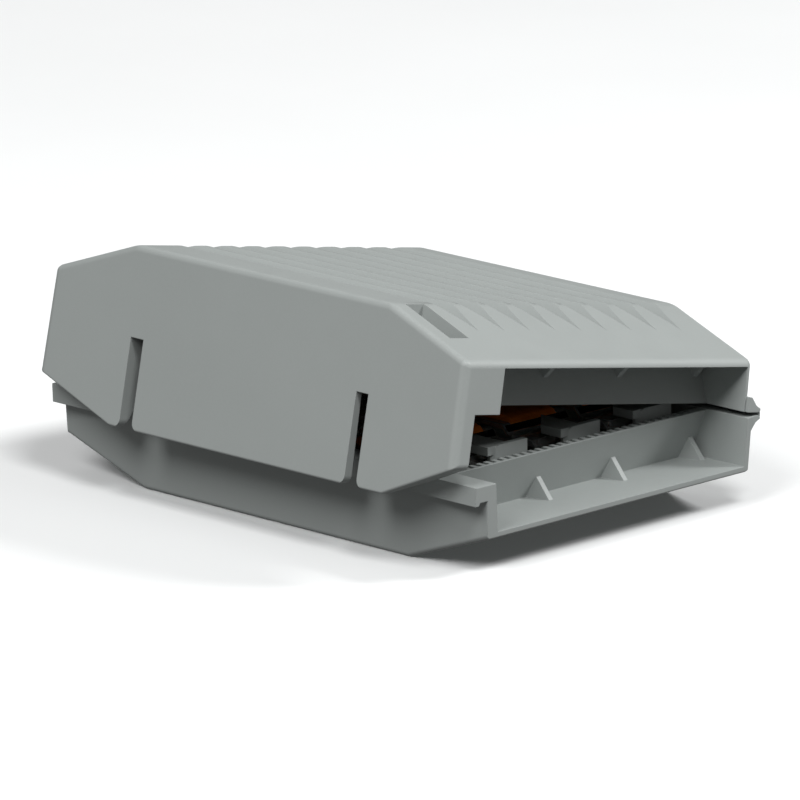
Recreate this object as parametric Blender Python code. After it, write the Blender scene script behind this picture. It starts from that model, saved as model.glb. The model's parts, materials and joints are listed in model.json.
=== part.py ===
"""Grey two-half gel splice box, standing slightly ajar, with three inline lever connectors inside.

Metres, +Z up, origin in the middle of the flat base.  X runs from the latch side to the hinge
side, Y from the front cable mouth to the rear one.  Dimensions below are in millimetres, measured
from the lower half's front left corner, and each object's location brings them to the origin.
Lid parts are drawn closed and hang from an empty on the hinge line, which is turned ajar.
"""
import math

import bmesh
import bpy
from mathutils import Matrix, Vector

MM = 0.001

# ---- both halves --------------------------------------------------------------------------
WIDTH = 34.0            # lower half, outside, without the latch flange
LENGTH = 53.7           # lower half, front to rear
PART_Z = 8.5            # parting plane
PART_GAP = 0.1          # each half stops this far short of the parting plane
DRAFT = 0.0457          # lower half: wall lean per unit of height
LID_DRAFT = 0.0247      # the same for the lid
SKIN = 0.8              # floor and bulkhead thickness
WALL_LEFT = 1.1
LEFT_TAPER = 0.09       # the lower left wall thickens towards its foot
WALL_RIGHT = 0.62
EDGE_ROUND = 0.45

# ---- lower half -----------------------------------------------------------------------------
SLOPE_RUN = 10.1        # length of the sloped ends of the base
SLOPE_RISE = 3.44       # height where the end slopes meet the end faces
HOOD_FLOOR = 3.95       # level of the cable mouth's floor
BULK_TOP_Y = 5.07       # front face of the bulkhead at its top
BULK_LEAN = 0.37        # the bulkhead leans forward this much per unit of height
BULK_TOP_Z = 8.33
COMB_DEEP = 1.15        # thickness of the comb along Y
COMB_LIP = 0.32         # unslotted front skin of the comb
COMB_PITCH = 0.93
COMB_SLOT = 0.46
COMB_CUT = 1.3          # slot depth
FLANGE_OUT = 1.40
FLANGE_THICK = 1.42
FLANGE_LIP = 0.28
FLANGE_LIP_WIDE = 0.55

# ---- gussets in the cable mouths ------------------------------------------------------------
GUSSET_X = (12.6, 22.2, 32.3)
GUSSET_HALF = 0.85
GUSSET_HIGH = 1.85
GUSSET_LONG = 2.6
GUSSET_RIDGE = 0.26     # half the width of its flat ridge

# ---- lid, drawn closed ----------------------------------------------------------------------
LID_FRONT = 0.49
LID_REAR = 52.71
LID_TOP = 16.75
LID_SLOPE_Z = 13.22     # where the end slopes meet the end faces
LID_SLOPE_FRONT = 10.53 # where the front slope reaches the top
LID_SLOPE_REAR = 42.57
LID_INNER_LEFT = 1.5
HOOD_CEILING = 12.65
CHAMBER_CEILING = 14.5
FLUTES = 9
FLUTE_PITCH = 3.3
FLUTE_FIRST = 3.35      # X of the first valley
CREST_HALF = 0.3
FLUTE_DEEP = 1.66
FLUTE_BULGE = 1.5       # 1 makes straight sides, 2 makes elliptical ones
POCKET_X = (-1.49, 0.88)
POCKET_FRONT = (4.65, 10.5)
POCKET_REAR = (42.6, 48.45)
POCKET_FLOOR = 10.6

# ---- latch flap, hanging from the lid's left wall ---------------------------------------------
FLAP_OUTER = -3.5
FLAP_INNER = -1.62
FLAP_DRAFT = 0.030
FLAP_BOTTOM = 0.25
FLAP_FRONT_Z = 3.9      # bottom of the flap at its front end
FLAP_REAR_Z = 3.65
FLAP_FRONT_RUN = 8.5
FLAP_REAR_RUN = 43.0
FLAP_BEVEL = (1.05, 2.1)
LATCH_INNER = -2.8      # the middle tongue is thin, to spring out over the flange
SLOT_FRONT = (11.64, 13.12)
SLOT_REAR = (40.03, 41.65)
TONGUE_ROUND = 0.8

# ---- film hinge ------------------------------------------------------------------------------
HINGE_X = 35.2
HINGE_LIP_DROP = 1.35
HINGE_LIP_GAP = 0.27
LIP_END = 0.15
FILM_RADIUS = 0.2
LID_AJAR = math.radians(9.73)

# ---- hold-down hooks behind the combs ----------------------------------------------------------
HOOK_Y = (6.75, 7.35)
HOOK_HALF = 2.2
HOOK_TOP = 9.28
HOOK_ROOT = 4.6
FINGER_X = (-2.7, 0.0)
FINGER_REACH = (9.3, 11.9)
FINGER_THICK = 0.83

# ---- inline lever connectors --------------------------------------------------------------------
CONNECTOR_X = (9.8, 19.1, 28.4)
CONNECTOR_HALF = 4.05
NOSE_Y = 8.7
NOSE_TOP = 8.1
BODY_BOTTOM = 1.05
BODY_TOP = 8.9
CHEEK_INNER = 3.05
WELL_Y = 12.2
WELL_FLOOR = 1.95
ENTRY_RADIUS = 2.0
ENTRY_Z = 4.75
PIVOT_Y = 21.5
PIVOT_Z = 7.3
PIVOT_HOLE = 0.75
PIN_RADIUS = 0.6
PIN_HALF = 3.85
HUB_RADIUS = 1.25
LEVER_HALF = 2.85
LEVER_TIP_Y = 12.45
LEVER_TOP = 9.4
COVER_HALF = 2.9
COVER_Y = 23.8
COVER_Z = (6.5, 8.9)
BAR_HALF = 2.2
BAR_Z = (2.1, 2.6)
CLAMP_HALF = 1.9
CLAMP_THICK = 0.35

# ---- gel ----------------------------------------------------------------------------------------
GEL_TOP = 7.3
GEL_CLEAR = 0.15
PAD_Z = (13.4, 14.3)

MIDDLE = LENGTH / 2
BASE_CENTRE = (WIDTH / 2, MIDDLE, 0.0)
HINGE_LINE = (HINGE_X, MIDDLE, PART_Z)

# ---- finishes: colour, roughness, metallic ---------------------------------------------------------
FINISHES = {
    "grey_plastic": ((0.30, 0.32, 0.31), 0.55, 0.0),
    "housing_plastic": ((0.33, 0.34, 0.33), 0.40, 0.0),
    "orange_plastic": ((0.80, 0.22, 0.03), 0.35, 0.0),
    "gel": ((0.10, 0.09, 0.03), 0.15, 0.0),
    "copper": ((0.72, 0.63, 0.52), 0.30, 1.0),
    "spring_steel": ((0.62, 0.62, 0.60), 0.28, 1.0),
}


# ---- small mesh kit -------------------------------------------------------------------------------
def finish_mesh(bm, name):
    bmesh.ops.remove_doubles(bm, verts=bm.verts, dist=1e-6)
    bmesh.ops.recalc_face_normals(bm, faces=bm.faces)
    mesh = bpy.data.meshes.new(name)
    bm.to_mesh(mesh)
    bm.free()
    obj = bpy.data.objects.new(name, mesh)
    bpy.context.scene.collection.objects.link(obj)
    return obj


def at(value, z):
    return value(z) if callable(value) else value


def prism(name, outline, low, high, axis="X", bevel=0.0, segments=2):
    """Push a closed outline along an axis.  low and high may be functions of height."""
    bm = bmesh.new()
    rings = []
    for end in (low, high):
        ring = []
        for a, b in outline:
            if axis == "X":
                co = (at(end, b), a, b)
            elif axis == "Y":
                co = (a, at(end, b), b)
            else:
                co = (a, b, end)
            ring.append(bm.verts.new(Vector(co) * MM))
        rings.append(ring)
    n = len(outline)
    bm.faces.new(rings[0])
    bm.faces.new(rings[1])
    for i in range(n):
        j = (i + 1) % n
        bm.faces.new((rings[0][i], rings[0][j], rings[1][j], rings[1][i]))
    bmesh.ops.recalc_face_normals(bm, faces=bm.faces)
    if bevel:
        bmesh.ops.bevel(bm, geom=list(bm.edges), offset=bevel * MM, segments=segments, profile=0.5,
                        affect="EDGES", clamp_overlap=True)
    return finish_mesh(bm, name)


def box(name, x, y, z):
    return prism(name, [(y[0], z[0]), (y[1], z[0]), (y[1], z[1]), (y[0], z[1])], *x)


def circle(cy, cz, radius, count=16):
    turn = 2 * math.pi / count
    return [(cy + radius * math.cos((i + 0.5) * turn),
             cz + radius * math.sin((i + 0.5) * turn)) for i in range(count)]


def join(objects, name):
    """Several separate meshes as one object, for one Boolean."""
    bm = bmesh.new()
    for obj in objects:
        bm.from_mesh(obj.data)
        bpy.data.objects.remove(obj)
    mesh = bpy.data.meshes.new(name)
    bm.to_mesh(mesh)
    bm.free()
    obj = bpy.data.objects.new(name, mesh)
    bpy.context.scene.collection.objects.link(obj)
    return obj


def combine(target, tools, how):
    tools = tools if isinstance(tools, list) else [tools]
    for tool in tools:
        mod = target.modifiers.new("combine", "BOOLEAN")
        mod.operation = how
        mod.solver = "EXACT"
        mod.object = tool
        bpy.context.view_layer.update()
        graph = bpy.context.evaluated_depsgraph_get()
        mesh = bpy.data.meshes.new_from_object(target.evaluated_get(graph))
        target.modifiers.clear()
        target.data = mesh
        target.data.name = target.name
        bpy.data.objects.remove(tool)
    bm = bmesh.new()
    bm.from_mesh(target.data)
    bmesh.ops.remove_doubles(bm, verts=bm.verts, dist=1e-6)
    bmesh.ops.dissolve_degenerate(bm, edges=bm.edges, dist=1e-6)
    bm.to_mesh(target.data)
    bm.free()
    return target


def cut(target, tools):
    return combine(target, tools, "DIFFERENCE")


def add(target, tools):
    return combine(target, tools, "UNION")


def mirrored(outline):
    """The same outline at the other end of the box."""
    return [(LENGTH - y, z) for y, z in reversed(outline)]


def finish(obj, look, origin=BASE_CENTRE, parent=None):
    """Give a piece its material, and its object origin at a point of the drawing."""
    material = bpy.data.materials.get(look)
    if material is None:
        colour, roughness, metallic = FINISHES[look]
        material = bpy.data.materials.new(look)
        material.use_nodes = True
        shader = material.node_tree.nodes["Principled BSDF"]
        shader.inputs["Base Color"].default_value = (*colour, 1.0)
        shader.inputs["Roughness"].default_value = roughness
        shader.inputs["Metallic"].default_value = metallic
    obj.data.materials.clear()
    obj.data.materials.append(material)
    obj.data.transform(Matrix.Translation(-Vector(origin) * MM))
    if parent:
        obj.parent = parent
    else:
        obj.location = (Vector(origin) - Vector(BASE_CENTRE)) * MM
    return obj


def lid_hinge():
    """The empty on the hinge line that carries the lid's pieces."""
    hinge = bpy.data.objects.new("lid_hinge", None)
    hinge.location = (Vector(HINGE_LINE) - Vector(BASE_CENTRE)) * MM
    hinge.rotation_euler.y = LID_AJAR
    bpy.context.scene.collection.objects.link(hinge)
    return hinge


# ---- lower half -------------------------------------------------------------------------------------
def inset(z):
    return DRAFT * (PART_Z - PART_GAP - z)


def bulkhead(z):
    """Y of the lower bulkhead's mouth side at a height."""
    return BULK_TOP_Y + (BULK_TOP_Z - z) * BULK_LEAN


def gusset(x, floor, up):
    """A small wedge between the mouth's floor and the bulkhead; up is -1 for the lid's."""
    foot = bulkhead(HOOD_FLOOR) + 0.3
    tip = bulkhead(HOOD_FLOOR + GUSSET_HIGH)
    ridge = GUSSET_RIDGE
    points = [(x - GUSSET_HALF, foot, floor), (x + GUSSET_HALF, foot, floor),
              (x + ridge, foot - GUSSET_LONG, floor), (x - ridge, foot - GUSSET_LONG, floor),
              (x - ridge, tip + 0.3, floor + up * GUSSET_HIGH),
              (x + ridge, tip + 0.3, floor + up * GUSSET_HIGH),
              (x - ridge, tip - 0.05, floor + up * GUSSET_HIGH),
              (x + ridge, tip - 0.05, floor + up * GUSSET_HIGH)]
    low = [(a, b, floor - up * 0.3) for a, b, c in points[:4]]
    bm = bmesh.new()
    verts = [bm.verts.new(Vector(p) * MM) for p in points + low]
    bmesh.ops.convex_hull(bm, input=verts)
    loose = [v for v in bm.verts if not v.link_faces]
    bmesh.ops.delete(bm, geom=loose, context="VERTS")
    bmesh.ops.dissolve_limit(bm, angle_limit=0.01, verts=bm.verts, edges=bm.edges)
    return finish_mesh(bm, "gusset")


def reversed_ends(obj):
    """A copy of the mesh at the other end of the box."""
    mesh = obj.data.copy()
    mesh.transform(Matrix.Translation((0, LENGTH * MM, 0)) @ Matrix.Scale(-1, 4, (0, 1, 0)))
    mesh.flip_normals()
    twin = bpy.data.objects.new(obj.name + "_rear", mesh)
    bpy.context.scene.collection.objects.link(twin)
    return twin


def hook(x):
    """Upright plate with a finger reaching back over the connector's nose."""
    top = HOOK_TOP
    plate = prism("hook", [(x - HOOK_HALF, HOOK_ROOT), (x + HOOK_HALF, HOOK_ROOT),
                           (x + HOOK_HALF, top), (x - HOOK_HALF + 0.85, top),
                           (x - HOOK_HALF, top - 0.35)],
                  HOOK_Y[0], HOOK_Y[1], "Y")
    left, right = x + FINGER_X[0], x + FINGER_X[1]
    finger = prism("finger", [(left, HOOK_Y[0] + 0.12), (right, HOOK_Y[0] + 0.12),
                              (right, FINGER_REACH[1]), (left, FINGER_REACH[0])],
                   top - FINGER_THICK, top - 0.04, "Z")
    return add(plate, finger)


def hinge_lip(name, up):
    """Thickened edge of the film hinge, on the outside of the right wall."""
    z = PART_Z - up * PART_GAP
    outline = [(WIDTH - 0.4, z), (HINGE_X - 0.35, z), (HINGE_X - 0.05, PART_Z - up * HINGE_LIP_GAP),
               (HINGE_X - 0.05, z - up * 0.35), (HINGE_X - 0.6, z - up * 0.6),
               (WIDTH - 0.1, z - up * HINGE_LIP_DROP), (WIDTH - 0.4, z - up * HINGE_LIP_DROP)]
    return prism(name, outline, LIP_END, LENGTH - LIP_END, "Y")


def lower_shell():
    top = PART_Z - PART_GAP
    outline = [(inset(top + 2), top + 2), (inset(SLOPE_RISE), SLOPE_RISE), (SLOPE_RUN, 0)]
    outline += mirrored(outline)
    shell = prism("lower_shell", outline, inset, lambda z: WIDTH - inset(z),
                  bevel=EDGE_ROUND, segments=2)
    cut(shell, box("rim", (-9, 50), (-9, 70), (top, 20)))

    lip = FLANGE_OUT - FLANGE_LIP_WIDE
    low = top - FLANGE_THICK
    add(shell, prism("flange", [(-FLANGE_OUT, low - FLANGE_LIP), (-lip - 0.12, low - FLANGE_LIP),
                                (-lip, low), (0.5, low), (0.5, top), (-FLANGE_OUT, top)],
                     inset, lambda z: LENGTH - inset(z), "Y"))
    add(shell, hinge_lip("hinge_lip", 1))

    left = lambda z: WALL_LEFT + LEFT_TAPER * (top - z)
    right = lambda z: WIDTH - WALL_RIGHT - inset(z)
    mouth = [(-3, HOOD_FLOOR), (bulkhead(HOOD_FLOOR), HOOD_FLOOR), (bulkhead(top + 2), top + 2),
             (-3, top + 2)]
    comb_back = lambda z: bulkhead(z) + COMB_DEEP
    wall_back = lambda z: bulkhead(z) + SKIN + 0.05
    half = [(10.4, SKIN), (8.95, SKIN + 0.5), (wall_back(3.0), 3.0), (wall_back(6.6), 6.6),
            (comb_back(7.0), 7.0), (comb_back(top + 2), top + 2)]
    chamber = half + [(LENGTH - y, z) for y, z in reversed(half)]
    cut(shell, [prism("mouth", mouth, left, right), prism("mouth", mirrored(mouth), left, right),
                prism("chamber", chamber, left, right)])
    # the bulkheads stop just under the rim
    for y in ((4.0, 7.6), (LENGTH - 7.6, LENGTH - 4.0)):
        cut(shell, box("level", (left(top), right(top)), y, (BULK_TOP_Z, 12)))

    parts = [hook(x) for x in CONNECTOR_X] + [gusset(x, HOOD_FLOOR, 1) for x in GUSSET_X]
    parts += [reversed_ends(p) for p in parts]
    add(shell, parts)

    first = WALL_LEFT + 0.55
    count = int((WIDTH - WALL_RIGHT - 0.4 - first) / COMB_PITCH)
    slots = []
    for i in range(count):
        x = first + i * COMB_PITCH
        run = [(bulkhead(BULK_TOP_Z) + COMB_LIP, 9.0), (bulkhead(BULK_TOP_Z) + COMB_DEEP + 0.35, 9.0),
               (bulkhead(BULK_TOP_Z) + COMB_DEEP + 0.35, BULK_TOP_Z - COMB_CUT),
               (bulkhead(BULK_TOP_Z - COMB_CUT) + COMB_LIP, BULK_TOP_Z - COMB_CUT),
               (bulkhead(BULK_TOP_Z) + COMB_LIP, BULK_TOP_Z)]
        slots.append(prism("slot", run, x, x + COMB_SLOT))
        slots.append(prism("slot", mirrored(run), x, x + COMB_SLOT))
    cut(shell, join(slots, "slots"))
    return shell


# ---- lid ------------------------------------------------------------------------------------------------
def lid_inset(z):
    return LID_DRAFT * (z - PART_Z)


def lid_bulkhead(z):
    return bulkhead(2 * PART_Z - z)


def lid_side():
    """Side view of the closed lid, with the latch flap's lower edge."""
    front = LID_FRONT + lid_inset(LID_SLOPE_Z)
    rear = LID_REAR - lid_inset(LID_SLOPE_Z)
    return [(LID_FRONT - 0.11, FLAP_FRONT_Z + 0.5), (LID_FRONT + 0.4, FLAP_FRONT_Z - 0.15),
            (FLAP_FRONT_RUN, FLAP_BOTTOM), (FLAP_REAR_RUN, FLAP_BOTTOM),
            (LID_REAR - 0.4, FLAP_REAR_Z - 0.12), (LID_REAR + 0.11, FLAP_REAR_Z + 0.5),
            (rear, LID_SLOPE_Z), (LID_SLOPE_REAR, LID_TOP), (LID_SLOPE_FRONT, LID_TOP),
            (front, LID_SLOPE_Z)]


def under_lid():
    """All that lies below the parting plane inside the latch flap, with the flap's bevel."""
    deep, tall = FLAP_BEVEL
    inner = lambda z: FLAP_INNER + FLAP_DRAFT * (z - PART_Z)
    base = PART_Z + PART_GAP
    low = FLAP_BOTTOM - 0.3
    section = [(inner(base), base), (inner(FLAP_BOTTOM + tall), FLAP_BOTTOM + tall),
               (inner(FLAP_BOTTOM) - deep, FLAP_BOTTOM), (inner(FLAP_BOTTOM) - deep, low - 1),
               (60, low - 1), (60, base)]
    return prism("under", section, -2.0, LENGTH + 2.0, "Y")


def latch_relief():
    """Space behind the thin middle tongue."""
    return box("relief", (LATCH_INNER, FLAP_INNER + 0.5), (SLOT_FRONT[1] - 0.4, SLOT_REAR[0] + 0.4),
               (-2.0, PART_Z + 0.02))


def tongue_slot(y0, y1):
    """Slot between two latch tongues, opening out at its rounded foot."""
    r = TONGUE_ROUND
    half = [(0, PART_Z + 0.02), (0, FLAP_BOTTOM + r), (-r * 0.13, FLAP_BOTTOM + r * 0.5),
            (-r * 0.5, FLAP_BOTTOM + r * 0.13), (-r, FLAP_BOTTOM - 0.02), (-r, FLAP_BOTTOM - 2)]
    outline = [(y0 + a, z) for a, z in half] + [(y1 - a, z) for a, z in reversed(half)]
    return prism("slot", outline, -9, FLAP_INNER + 0.8)


def flute(x, steps):
    """Cutter for one valley between two ribs whose sides bulge and meet in a sharp bottom."""
    half = FLUTE_PITCH / 2 - CREST_HALF
    p = FLUTE_BULGE
    side = [(half * (1 - k / steps), FLUTE_DEEP * (1 - (1 - (k / steps) ** p) ** (1 / p)))
            for k in range(steps + 1)]
    left = [(x - a, LID_TOP - d) for a, d in side]
    right = [(x + a, LID_TOP - d) for a, d in reversed(side[:-1])]
    outline = [(x - half, LID_TOP + 1)] + left + right + [(x + half, LID_TOP + 1)]
    return prism("flute", outline, -2.0, LENGTH + 2.0, "Y")


def lid_shell():
    shell = prism("lid_shell", lid_side(), lambda z: FLAP_OUTER + FLAP_DRAFT * (z - PART_Z),
                  lambda z: WIDTH - lid_inset(z), bevel=EDGE_ROUND * 1.6, segments=3)
    cut(shell, [under_lid(), latch_relief(), tongue_slot(*SLOT_FRONT), tongue_slot(*SLOT_REAR)])

    left = lambda z: LID_INNER_LEFT + lid_inset(z)
    right = lambda z: WIDTH - WALL_RIGHT - lid_inset(z)
    mouth = [(-3, 6.5), (lid_bulkhead(6.5), 6.5), (lid_bulkhead(HOOD_CEILING), HOOD_CEILING),
             (-3, HOOD_CEILING)]
    back = lambda z: lid_bulkhead(z) + SKIN + 0.05
    half = [(back(6.5), 6.5), (back(13.9), 13.9), (8.6, CHAMBER_CEILING)]
    chamber = half + [(LENGTH - y, z) for y, z in reversed(half)]
    cut(shell, [prism("mouth", mouth, left, right), prism("mouth", mirrored(mouth), left, right),
                prism("chamber", chamber, left, right)])
    add(shell, hinge_lip("hinge_lip", -1))

    ribs = [gusset(x, HOOD_CEILING, -1) for x in GUSSET_X]
    ribs += [reversed_ends(r) for r in ribs]
    add(shell, ribs)

    cutters = [flute(FLUTE_FIRST + i * FLUTE_PITCH, 4) for i in range(FLUTES)]
    for y in (POCKET_FRONT, POCKET_REAR):
        cutters.append(box("pocket", POCKET_X, y, (POCKET_FLOOR, LID_TOP + 1)))
    return cut(shell, join(cutters, "cutters"))


# ---- connector ----------------------------------------------------------------------------------------------
def both_ends(outline):
    return outline + [(LENGTH - y, z) for y, z in reversed(outline)]


def housing(x, name):
    side = both_ends([(10.9, BODY_BOTTOM), (9.1, 1.85), (NOSE_Y, 2.3), (NOSE_Y, NOSE_TOP - 0.5),
                      (NOSE_Y + 0.5, NOSE_TOP), (WELL_Y - 0.1, NOSE_TOP), (WELL_Y + 0.5, BODY_TOP)])
    body = prism(name, side, x - CONNECTOR_HALF, x + CONNECTOR_HALF)
    well = box("well", (x - CHEEK_INNER, x + CHEEK_INNER), (WELL_Y, LENGTH - WELL_Y),
               (WELL_FLOOR, 12))
    entry = prism("entry", [(x + a, b) for a, b in circle(0, ENTRY_Z, ENTRY_RADIUS, 20)],
                  2.0, LENGTH - 2.0, "Y")
    holes = [prism("hole", circle(y, PIVOT_Z, PIVOT_HOLE), x - 6, x + 6)
             for y in (PIVOT_Y, LENGTH - PIVOT_Y)]
    return cut(body, [well, entry] + holes)


def lever(x, name, rear=False):
    """Closed lever: hub at the pivot, arm lying forward along the top, tip turned down."""
    arm = [(LEVER_TIP_Y, 7.7), (LEVER_TIP_Y + 0.55, 7.55), (LEVER_TIP_Y + 1.0, 8.1),
           (16.0, 8.15), (PIVOT_Y - 0.6, 7.9), (PIVOT_Y, PIVOT_Z + 0.4),
           (PIVOT_Y + 0.75, PIVOT_Z + 0.9), (PIVOT_Y - 0.1, PIVOT_Z + 1.5), (19.5, 9.2),
           (17.0, LEVER_TOP), (14.0, LEVER_TOP), (LEVER_TIP_Y + 0.6, 9.15),
           (LEVER_TIP_Y, 8.5)]
    place = mirrored if rear else list
    part = prism(name, place(arm), x - LEVER_HALF, x + LEVER_HALF)
    hub = prism("hub", place(circle(PIVOT_Y, PIVOT_Z, HUB_RADIUS, 20)),
                x - LEVER_HALF + 0.2, x + LEVER_HALF - 0.2)
    pin = prism("pin", place(circle(PIVOT_Y, PIVOT_Z, PIN_RADIUS, 12)), x - PIN_HALF, x + PIN_HALF)
    return add(part, [hub, pin])


def cover(x, name):
    part = box(name, (x - COVER_HALF, x + COVER_HALF), (COVER_Y, LENGTH - COVER_Y), COVER_Z)
    ports = [box("port", (x - 0.7, x + 0.7), (y - 0.45, y + 0.45), (COVER_Z[1] - 1.4, 12))
             for y in (MIDDLE - 1.7, MIDDLE + 1.7)]
    return cut(part, join(ports, "ports"))


def busbar(x, name):
    lo, hi = BAR_Z
    y0, y1 = 13.4, LENGTH - 13.4
    section = [(x - BAR_HALF, hi + 0.9), (x - BAR_HALF, lo), (x + BAR_HALF, lo),
               (x + BAR_HALF, hi + 0.9), (x + BAR_HALF - 0.2, hi + 0.9), (x + BAR_HALF - 0.2, hi),
               (x - BAR_HALF + 0.2, hi), (x - BAR_HALF + 0.2, hi + 0.9)]
    return prism(name, section, y0, y1, "Y")


def clamp(x, name, rear=False):
    """Bent leaf spring: foot on the bar, bow at the back, tongue reaching down to the wire."""
    path = [(18.2, 3.05), (24.0, 3.05), (24.9, 3.4), (25.2, 4.2), (24.8, 5.0), (23.8, 5.35),
            (19.5, 5.3), (17.3, 4.6), (15.3, 3.3)]
    side = []
    for i, p in enumerate(path):
        a, b = path[max(i - 1, 0)], path[min(i + 1, len(path) - 1)]
        d = math.hypot(b[0] - a[0], b[1] - a[1])
        n = (-(b[1] - a[1]) / d, (b[0] - a[0]) / d)
        side.append((p, (p[0] + n[0] * CLAMP_THICK, p[1] + n[1] * CLAMP_THICK)))
    outline = [p for p, q in side] + [q for p, q in reversed(side)]
    return prism(name, mirrored(outline) if rear else outline, x - CLAMP_HALF + 0.05,
                 x + CLAMP_HALF - 0.05)


# ---- gel ---------------------------------------------------------------------------------------------------------
def gel_lower():
    side = both_ends([(10.55, SKIN + 0.2), (9.15, SKIN + 0.68), (8.2, 3.1), (7.75, GEL_TOP)])
    left = lambda z: WALL_LEFT + 0.2 + LEFT_TAPER * (PART_Z - PART_GAP - z)
    right = lambda z: WIDTH - WALL_RIGHT - 0.2 - inset(z)
    gel = prism("gel_lower", side, left, right)
    wide = CONNECTOR_HALF + GEL_CLEAR
    beds = [box("bed", (x - wide, x + wide), (NOSE_Y - GEL_CLEAR, LENGTH - NOSE_Y + GEL_CLEAR),
                (-1, 12)) for x in CONNECTOR_X]
    return cut(gel, join(beds, "beds"))


def gel_upper():
    side = both_ends([(8.85, PAD_Z[0]), (8.5, PAD_Z[0] + 0.35), (8.8, PAD_Z[1])])
    left = lambda z: LID_INNER_LEFT + 0.2 + lid_inset(z)
    right = lambda z: WIDTH - WALL_RIGHT - 0.2 - lid_inset(z)
    return prism("gel_upper", side, left, right)


def hinge_film():
    return prism("hinge_film", circle(HINGE_X, PART_Z, FILM_RADIUS, 12), LIP_END, LENGTH - LIP_END,
                 "Y")


def connector(i, x):
    """One inline connector: housing, cover, bar, two springs and two levers."""
    finish(housing(x, f"housing_{i}"), "housing_plastic")
    finish(cover(x, f"cover_{i}"), "housing_plastic")
    finish(busbar(x, f"busbar_{i}"), "copper")
    for end, rear in (("front", False), ("rear", True)):
        finish(clamp(x, f"clamp_{end}_{i}", rear), "spring_steel")
        pivot = (x, LENGTH - PIVOT_Y if rear else PIVOT_Y, PIVOT_Z)
        finish(lever(x, f"lever_{end}_{i}", rear), "orange_plastic", pivot)


def main():
    for obj in list(bpy.data.objects):
        bpy.data.objects.remove(obj)
    hinge = lid_hinge()
    finish(lower_shell(), "grey_plastic")
    finish(lid_shell(), "grey_plastic", HINGE_LINE, hinge)
    finish(hinge_film(), "grey_plastic")
    finish(gel_lower(), "gel")
    finish(gel_upper(), "gel", HINGE_LINE, hinge)
    for i, x in enumerate(CONNECTOR_X, 1):
        connector(i, x)


main()
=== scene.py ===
"""Looks for the ajar gel splice box: fine shells, gel, connectors, materials, camera and light.

Lengths are in millimetres on the drawing of the closed box, measured from the lower half's front
left corner: X from the latch side to the hinge side, Y from the front mouth to the rear one, Z up.
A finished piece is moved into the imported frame, in metres, and a lid piece is turned ajar there.
"""

import json
import math

import bmesh
import bpy
from mathutils import Matrix, Vector


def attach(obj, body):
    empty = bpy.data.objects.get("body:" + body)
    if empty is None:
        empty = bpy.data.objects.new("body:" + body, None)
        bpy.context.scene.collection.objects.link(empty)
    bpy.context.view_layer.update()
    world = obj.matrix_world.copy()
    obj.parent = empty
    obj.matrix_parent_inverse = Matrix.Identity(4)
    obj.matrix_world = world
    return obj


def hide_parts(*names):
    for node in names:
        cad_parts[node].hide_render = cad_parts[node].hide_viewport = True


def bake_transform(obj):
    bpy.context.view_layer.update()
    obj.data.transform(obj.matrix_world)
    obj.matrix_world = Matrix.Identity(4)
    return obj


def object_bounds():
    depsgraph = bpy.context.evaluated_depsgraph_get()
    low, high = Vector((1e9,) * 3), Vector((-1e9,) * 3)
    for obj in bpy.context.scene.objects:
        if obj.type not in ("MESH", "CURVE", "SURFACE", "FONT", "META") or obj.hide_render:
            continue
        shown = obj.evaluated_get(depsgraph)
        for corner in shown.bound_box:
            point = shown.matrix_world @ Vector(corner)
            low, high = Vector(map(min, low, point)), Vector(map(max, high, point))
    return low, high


MM = 0.001

# ---- both halves -------------------------------------------------------------------------------
WIDTH = 34.0
LENGTH = 53.7
PART_Z = 8.5
PART_GAP = 0.1
DRAFT = 0.0457
LID_DRAFT = 0.0247
SKIN = 0.8
WALL_LEFT = 1.1
LEFT_TAPER = 0.09       # the lower left wall thickens towards its foot
WALL_RIGHT = 0.62
EDGE_ROUND = 0.45
END_ROUND = 0.12
SOFT_EDGE = 0.09        # small radius on every moulded edge, made in the plastic's shader
SOFTEN_ANGLE = 32       # edges sharper than this are softened
SMOOTH_ANGLE = 40       # edges sharper than this stay crisp in the shading
OVERLAP = 0.3           # how far a joined piece runs into its neighbour
AROUND_X = (-9, 50)     # a block wider and longer than the box, to cut with
AROUND_Y = (-9, 70)
CLEAR_ABOVE = 2         # cutters run this far past an open end

# ---- lower half --------------------------------------------------------------------------------
SLOPE_RUN = 10.1
SLOPE_RISE = 3.44
HOOD_FLOOR = 3.95
BULK_TOP_Y = 5.07
BULK_LEAN = 0.37
BULK_TOP_Z = 8.33
SKIN_SPARE = 0.05       # the bulkheads are this much thicker than the other walls
LEVEL_Y = (4.0, 7.6)    # stretch where the bulkhead's top is levelled
CHAMBER_FLOOR_Y = 10.4
CHAMBER_TOE = (8.95, 0.5)
CHAMBER_WALL_Z = (3.0, 6.6)
COMB_STEP_Z = 7.0       # the bulkhead is thicker above, to carry the comb
COMB_DEEP = 1.15
COMB_LIP = 0.32
COMB_PITCH = 0.93
COMB_SLOT = 0.46
COMB_CUT = 1.3
COMB_START = 0.55       # from the left wall to the first slot
COMB_END = 0.4
COMB_SPARE = 0.35
COMB_OVER = 9.0
FLANGE_OUT = 1.40
FLANGE_THICK = 1.42
FLANGE_LIP = 0.28
FLANGE_LIP_WIDE = 0.55
FLANGE_LIP_SLANT = 0.12
FLANGE_ROOT = 0.5
GUSSET_X = (12.6, 22.2, 32.3)
GUSSET_HALF = 0.9
GUSSET_HIGH = 1.85
GUSSET_LONG = 2.6
GUSSET_RIDGE = 0.26     # half the width of its flat ridge
GUSSET_PROUD = 0.05
LONG_EDGE = 3           # only edges that run further than this along the box are well rounded

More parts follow.
